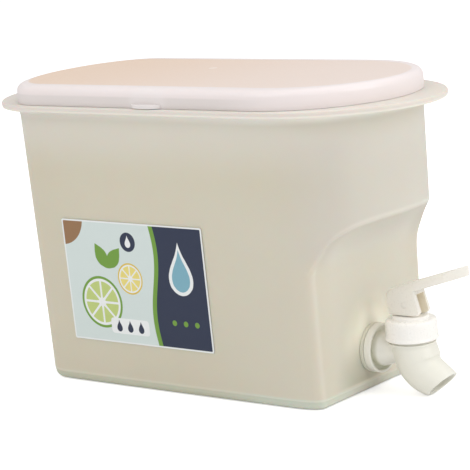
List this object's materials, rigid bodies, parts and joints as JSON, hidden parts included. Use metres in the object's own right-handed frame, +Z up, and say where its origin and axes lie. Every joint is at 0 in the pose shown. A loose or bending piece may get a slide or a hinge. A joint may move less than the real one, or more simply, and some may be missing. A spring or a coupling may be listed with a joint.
{
  "type": "drink dispenser",
  "caption": "Slim oval drink dispenser with a frosted tank, a press-on lid and a lever tap set in a recess at its front",
  "frame": {"origin": "middle of the bounding box in X and Y, at the level of the surface it stands on", "axes": "+X from the back of the tank to the tap, +Y to the tank's left side, +Z up"},
  "size_m": [0.2984, 0.1255, 0.172],
  "materials": {
    "frosted_plastic": "frosted, off-white",
    "lid_plastic": "satin, warm white",
    "white_plastic": "satin, ivory white",
    "clear_rubber": "milky, soft",
    "spring_steel": "drawn wire",
    "label_paper": "coated, printed"
  },
  "bodies": {
    "tank_body": {"tank": "frosted_plastic", "label_sheet": "label_paper", "tap_body": "white_plastic", "outer_washer": "clear_rubber", "inner_washer": "clear_rubber", "lock_nut": "white_plastic", "bonnet": "white_plastic", "seat_cup": "clear_rubber", "valve_spring": "spring_steel"},
    "lid": {"lid": "lid_plastic"},
    "valve": {"valve_stem": "white_plastic"},
    "lever": {"lever": "white_plastic", "lever_pin": "white_plastic"}
  },
  "joints": [
    {"name": "lid_lift", "type": "slide", "parent": "tank_body", "child": "lid", "axis": [0, 0, 1], "range_m": [0, 0.06]},
    {"name": "valve_lift", "type": "slide", "parent": "tank_body", "child": "valve", "axis": [0, 0, 1], "range_m": [0, 0.00245], "deforming": ["valve_spring", "seat_cup"]},
    {"name": "lever_press", "type": "hinge", "parent": "valve", "child": "lever", "pos_m": [0.1108, 0, 0.0497], "axis": [0, 1, 0], "range_deg": [0, 28], "stiffness_Nm_per_rad": 0.15, "springref_deg": -20.05}
  ],
  "couplings": [
    {"joint": "valve_lift", "follows": "lever_press", "m_per_rad": 0.005}
  ]
}
